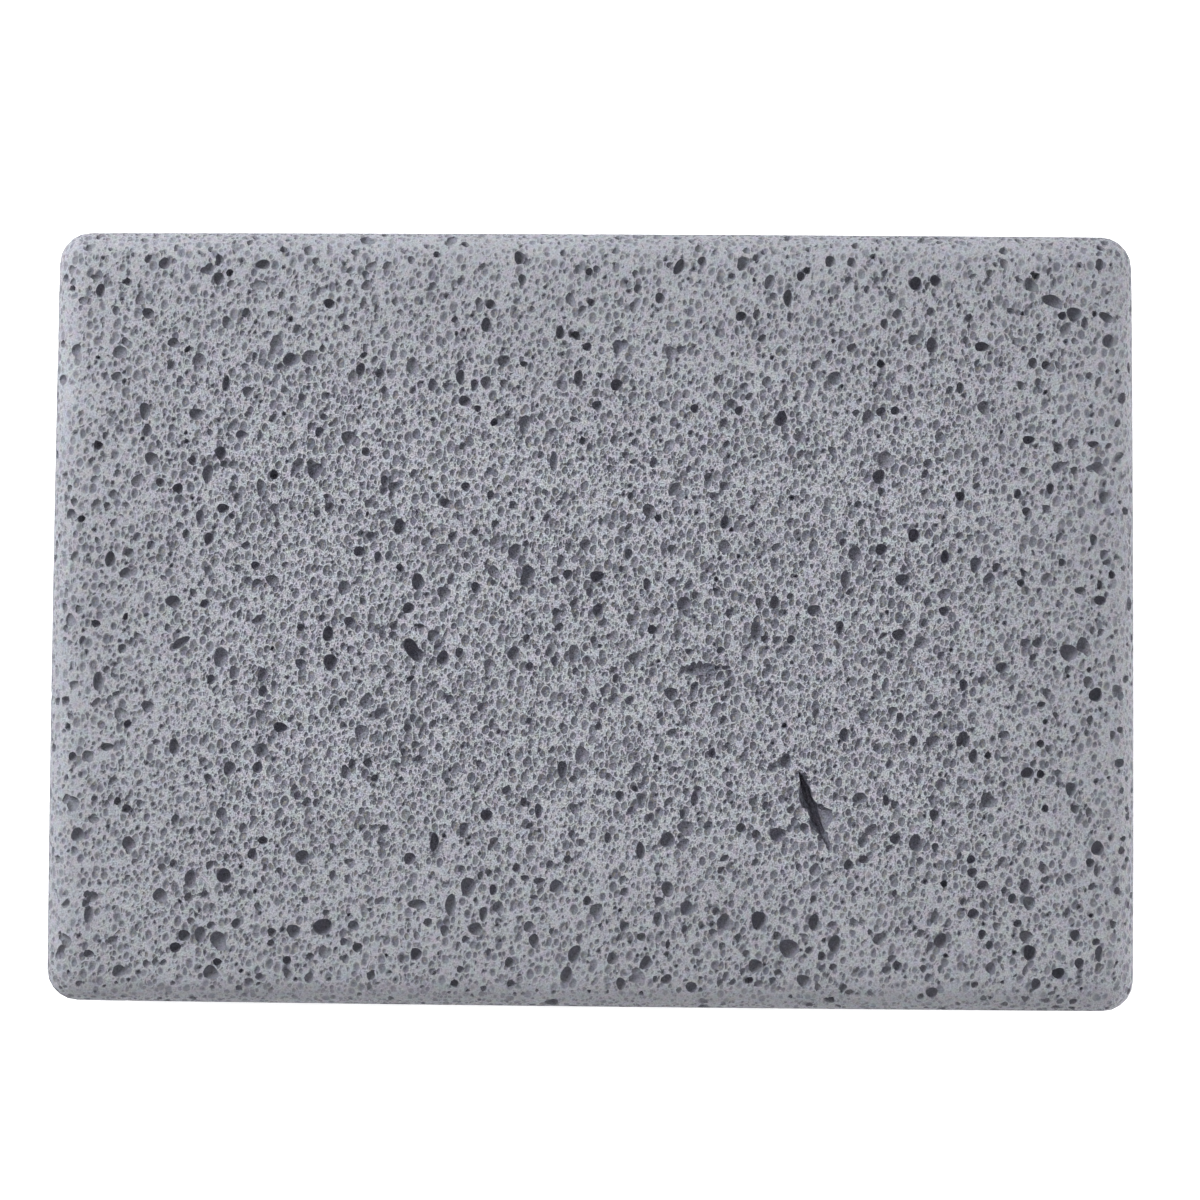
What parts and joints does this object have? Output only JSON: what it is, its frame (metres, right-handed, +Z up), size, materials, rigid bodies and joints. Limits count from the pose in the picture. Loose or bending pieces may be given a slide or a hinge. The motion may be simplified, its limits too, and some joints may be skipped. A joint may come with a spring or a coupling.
{
  "type": "pumice stone",
  "caption": "Rectangular block of grey foamed pumice with rounded, worn edges and open bubbles all over, for scrubbing and smoothing.",
  "frame": {"origin": "middle of the bounding box's bottom face, which the stone rests on", "axes": "+X along the length, +Y across the width, +Z up through the thickness"},
  "size_m": [0.1004, 0.0716, 0.035],
  "materials": {
    "pumice_foam": "matte, porous and dusty"
  },
  "bodies": {
    "root": {"pumice_stone": "pumice_foam"}
  },
  "joints": []
}
